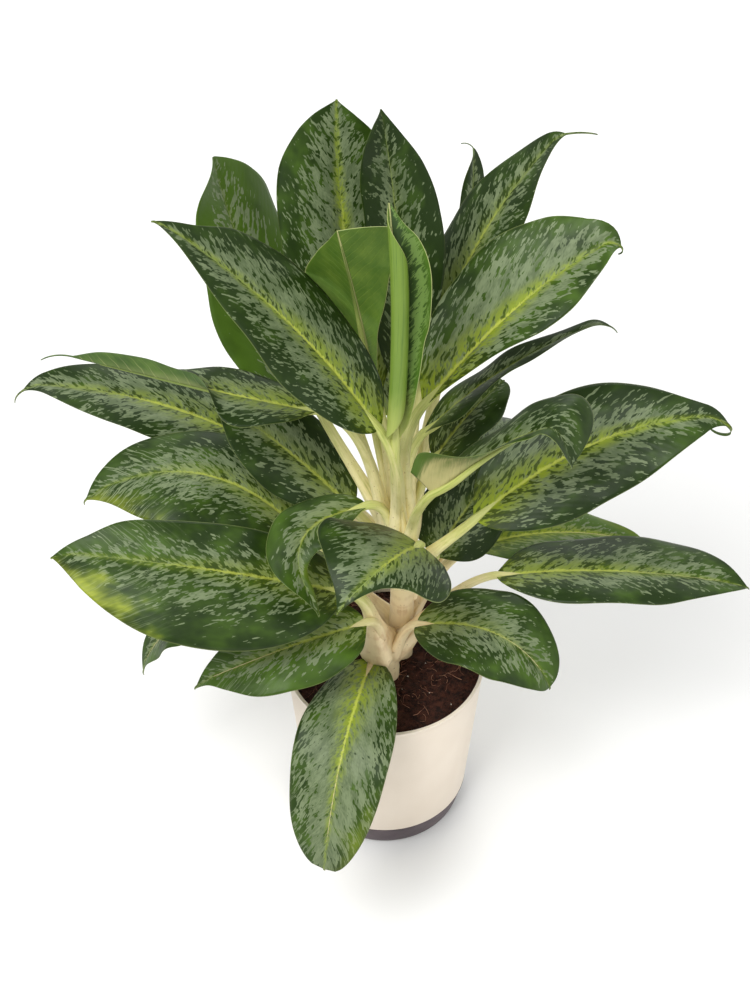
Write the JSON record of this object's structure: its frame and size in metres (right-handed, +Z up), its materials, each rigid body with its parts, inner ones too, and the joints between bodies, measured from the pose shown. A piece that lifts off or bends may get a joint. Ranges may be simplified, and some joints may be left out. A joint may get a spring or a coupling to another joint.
{
  "type": "potted chinese evergreen",
  "caption": "Chinese evergreen with silver-patterned pointed leaves on arching cream stalks, growing in soil in a tapered round pot on a dark foot.",
  "frame": {"origin": "middle of the pot's underside", "axes": "+Z up along the pot's axis, front of the plant faces -Y, +X to the right as seen from the front"},
  "size_m": [0.5506, 0.3671, 0.6042],
  "materials": {
    "pot_cream": "satin cream plastic",
    "pot_dark": "satin dark grey plastic",
    "peat": "loose damp potting soil",
    "stalk_cream": "smooth cream leaf stalk",
    "blade_green": "satin leaf, dark green and silver",
    "blade_young": "satin young leaf, light green"
  },
  "bodies": {
    "root": {"pot_wall": "pot_cream", "pot_foot": "pot_dark", "soil": "peat", "shoot_upper": "stalk_cream", "shoot_lower": "stalk_cream", "blade_top_middle": "blade_green", "blade_top_folded": "blade_green", "blade_top_left": "blade_green", "blade_upper_left": "blade_green", "blade_young_open": "blade_young", "blade_young_rolled": "blade_young", "blade_top_right": "blade_green", "blade_top_right_narrow": "blade_green", "blade_upper_right": "blade_green", "blade_right_on_edge": "blade_green", "blade_right_short": "blade_green", "blade_right_curled": "blade_green", "blade_right_large": "blade_green", "blade_right_dark": "blade_green", "blade_right_pale": "blade_green", "blade_right_low": "blade_green", "blade_front_right": "blade_green", "blade_front": "blade_green", "blade_front_left": "blade_green", "blade_left_low": "blade_green", "blade_left_middle": "blade_green", "blade_left_inner": "blade_green", "blade_left_far": "blade_green", "blade_left_long": "blade_green", "blade_centre_curled": "blade_green", "blade_centre_left": "blade_green", "blade_left_drooping": "blade_green", "blade_back_left": "blade_green", "blade_back_right": "blade_green", "blade_back_left_low": "blade_green", "blade_back_right_low": "blade_green"}
  },
  "joints": []
}
